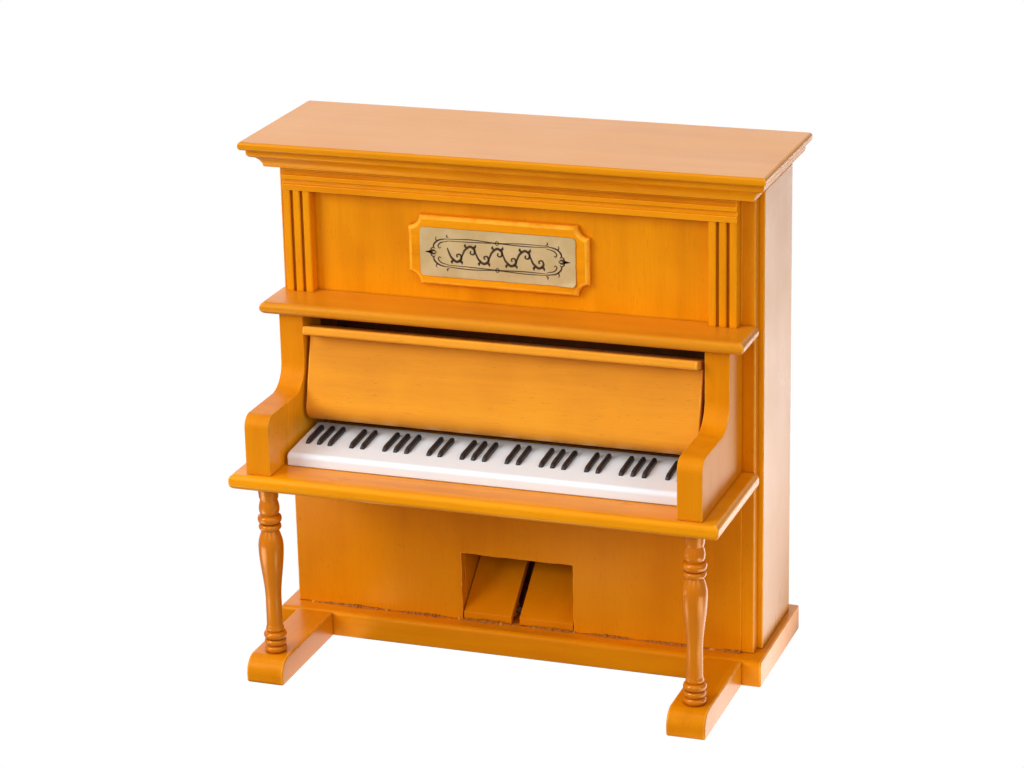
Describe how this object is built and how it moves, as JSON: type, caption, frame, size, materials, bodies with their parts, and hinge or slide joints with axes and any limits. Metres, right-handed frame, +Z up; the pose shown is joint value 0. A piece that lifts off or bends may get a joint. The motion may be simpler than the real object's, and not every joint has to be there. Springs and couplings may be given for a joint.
{
  "type": "miniature upright piano music box",
  "caption": "Wooden wind-up music box shaped as a miniature upright player piano, with a hinged fallboard, treadles and a winding key at the back.",
  "frame": {"origin": "on the floor, under the middle of the bounding box", "axes": "+X to the right as seen from the keyboard, +Y towards the back with the winding key, +Z up"},
  "size_m": [0.1556, 0.0972, 0.1542],
  "materials": {
    "wood_honey": "honey-orange stain under satin varnish",
    "wood_fallboard": "lighter honey stain, fine grain, satin varnish",
    "wood_turned": "darker honey stain, satin varnish",
    "wood_treadle": "honey stain, thin varnish",
    "wood_inner": "bare wood",
    "white_plastic": "semi-gloss moulded white",
    "black_plastic": "satin black paint",
    "foil": "pale gold foil, worn at the edges",
    "steel": "plain",
    "brass": "satin"
  },
  "bodies": {
    "case": {"base_board": "wood_honey", "toe_left": "wood_honey", "toe_right": "wood_honey", "side_panel_left": "wood_honey", "side_panel_right": "wood_honey", "stile_left": "wood_honey", "stile_right": "wood_honey", "lower_panel": "wood_honey", "upper_panel": "wood_honey", "lid_board": "wood_honey", "crown_front": "wood_honey", "crown_left": "wood_honey", "crown_right": "wood_honey", "frieze_moulding": "wood_honey", "pilaster_left": "wood_honey", "pilaster_right": "wood_honey", "plaque_board": "wood_honey", "shelf_board": "wood_honey", "cheek_left": "wood_honey", "cheek_right": "wood_honey", "key_bed": "wood_honey", "leg_left": "wood_turned", "leg_right": "wood_turned", "middle_rail": "wood_inner", "back_panel": "wood_inner", "corner_blocks": "wood_inner", "fallboard_rest_rail": "wood_inner", "pedal_wall_left": "wood_inner", "pedal_wall_right": "wood_inner", "keyboard_plate": "white_plastic", "black_keys": "black_plastic", "label_plate": "foil", "back_screws": "steel", "fallboard_pins": "steel", "treadle_rod": "steel", "movement_plate": "steel", "movement_screws": "steel", "note_comb": "steel", "comb_screws": "steel", "barrel_bridge": "brass", "cylinder_bearings": "brass", "comb_base": "brass", "governor_frame": "brass"},
    "fallboard": {"fallboard": "wood_fallboard", "fallboard_lip": "wood_fallboard"},
    "treadle_left": {"treadle_left": "wood_treadle"},
    "treadle_right": {"treadle_right": "wood_treadle"},
    "winder": {"winding_arbor": "steel", "winding_key": "brass"},
    "barrel": {"spring_barrel": "brass", "mainspring": "steel"},
    "cylinder": {"note_cylinder": "brass", "cylinder_wheels": "steel"},
    "governor": {"governor_wheel": "brass"},
    "fly": {"fly": "steel"}
  },
  "joints": [
    {"name": "fallboard_hinge", "type": "hinge", "parent": "case", "child": "fallboard", "pos_m": [0, -0.0161, 0.076], "axis": [1, 0, 0], "range_deg": [0, 109]},
    {"name": "treadle_left_hinge", "type": "hinge", "parent": "case", "child": "treadle_left", "pos_m": [-0.0105, 0.0015, 0.0106], "axis": [1, 0, 0], "range_deg": [-12, 0]},
    {"name": "treadle_right_hinge", "type": "hinge", "parent": "case", "child": "treadle_right", "pos_m": [0.008, 0.0015, 0.0106], "axis": [1, 0, 0], "range_deg": [-12, 0]},
    {"name": "winding_turn", "type": "hinge", "parent": "case", "child": "winder", "pos_m": [0, 0.036, 0.117], "axis": [0, 1, 0], "continuous": true},
    {"name": "barrel_turn", "type": "hinge", "parent": "case", "child": "barrel", "pos_m": [0, 0.02, 0.117], "axis": [0, 1, 0], "continuous": true},
    {"name": "cylinder_turn", "type": "hinge", "parent": "case", "child": "cylinder", "pos_m": [0.025, 0.0172, 0.117], "axis": [1, 0, 0], "continuous": true},
    {"name": "governor_turn", "type": "hinge", "parent": "case", "child": "governor", "pos_m": [0.03, 0.0172, 0.12655], "axis": [1, 0, 0], "continuous": true},
    {"name": "fly_turn", "type": "hinge", "parent": "case", "child": "fly", "pos_m": [0.0286, 0.017, 0.13005], "axis": [0, 1, 0], "continuous": true}
  ],
  "couplings": [
    {"joint": "cylinder_turn", "follows": "barrel_turn", "ratio": -3.4286},
    {"joint": "governor_turn", "follows": "barrel_turn", "ratio": 13.714},
    {"joint": "fly_turn", "follows": "barrel_turn", "ratio": 164.57}
  ]
}
